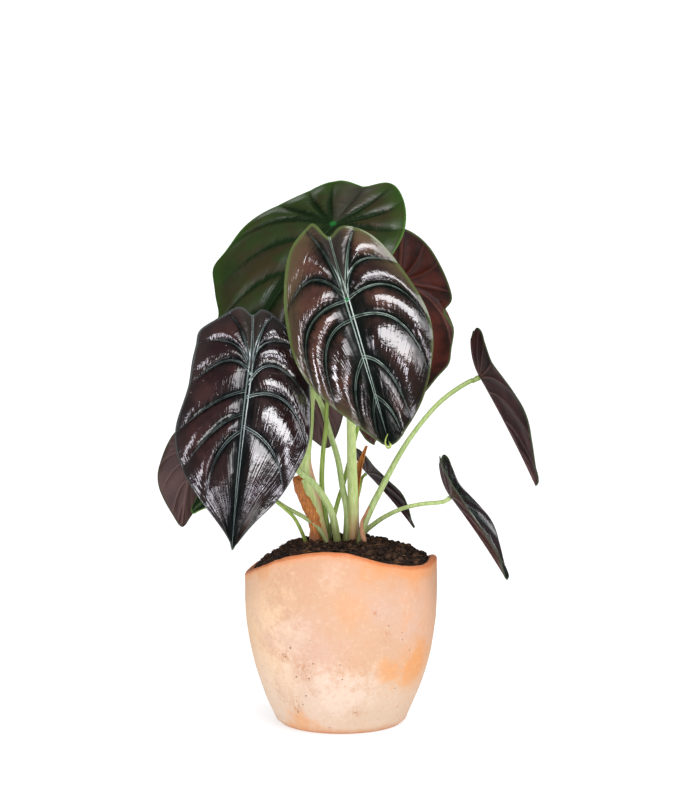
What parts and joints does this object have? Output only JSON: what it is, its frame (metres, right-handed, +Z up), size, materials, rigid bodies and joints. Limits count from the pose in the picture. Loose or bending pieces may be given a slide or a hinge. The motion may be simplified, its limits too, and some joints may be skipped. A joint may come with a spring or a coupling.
{
  "type": "potted alocasia",
  "caption": "Potted aroid houseplant with broad quilted heart-shaped blades on slim stalks, in a tapered clay pot with a wavy rim.",
  "frame": {"origin": "centre of the pot's flat underside", "axes": "+Z up, -Y towards the viewer of the picture, +X to the viewer's right"},
  "size_m": [0.2775, 0.1778, 0.3937],
  "materials": {
    "terracotta": "matt unglazed clay, peach coloured with a pale bloom and orange patches",
    "soil": "dark crumbly peat, moist",
    "corm": "dry brown bark-like skin",
    "blade_dark": "glossy copper brown to purple brown upper side, satin maroon underside",
    "blade_olive": "satin olive green upper side with a bright green margin",
    "stalk": "smooth pale green, pinkish at the foot",
    "sheath": "dry papery brown"
  },
  "bodies": {
    "root": {"pot": "terracotta", "soil": "soil", "corm": "corm", "blade_back_top": "blade_olive", "blade_front_centre": "blade_dark", "blade_front_left": "blade_dark", "blade_back_right": "blade_dark", "blade_far_right_upper": "blade_dark", "blade_far_right_lower": "blade_dark", "blade_low_right": "blade_dark", "blade_middle": "blade_dark", "blade_far_left": "blade_dark", "blade_low_left": "blade_olive", "blade_inner": "blade_dark", "stalk_back_top": "stalk", "stalk_front_centre": "stalk", "stalk_front_left": "stalk", "stalk_back_right": "stalk", "stalk_far_right_upper": "stalk", "stalk_far_right_lower": "stalk", "stalk_low_right": "stalk", "stalk_middle": "stalk", "stalk_far_left": "stalk", "stalk_low_left": "stalk", "stalk_inner": "stalk", "sheath_left": "sheath", "sheath_middle": "sheath", "sheath_small": "sheath"}
  },
  "joints": []
}
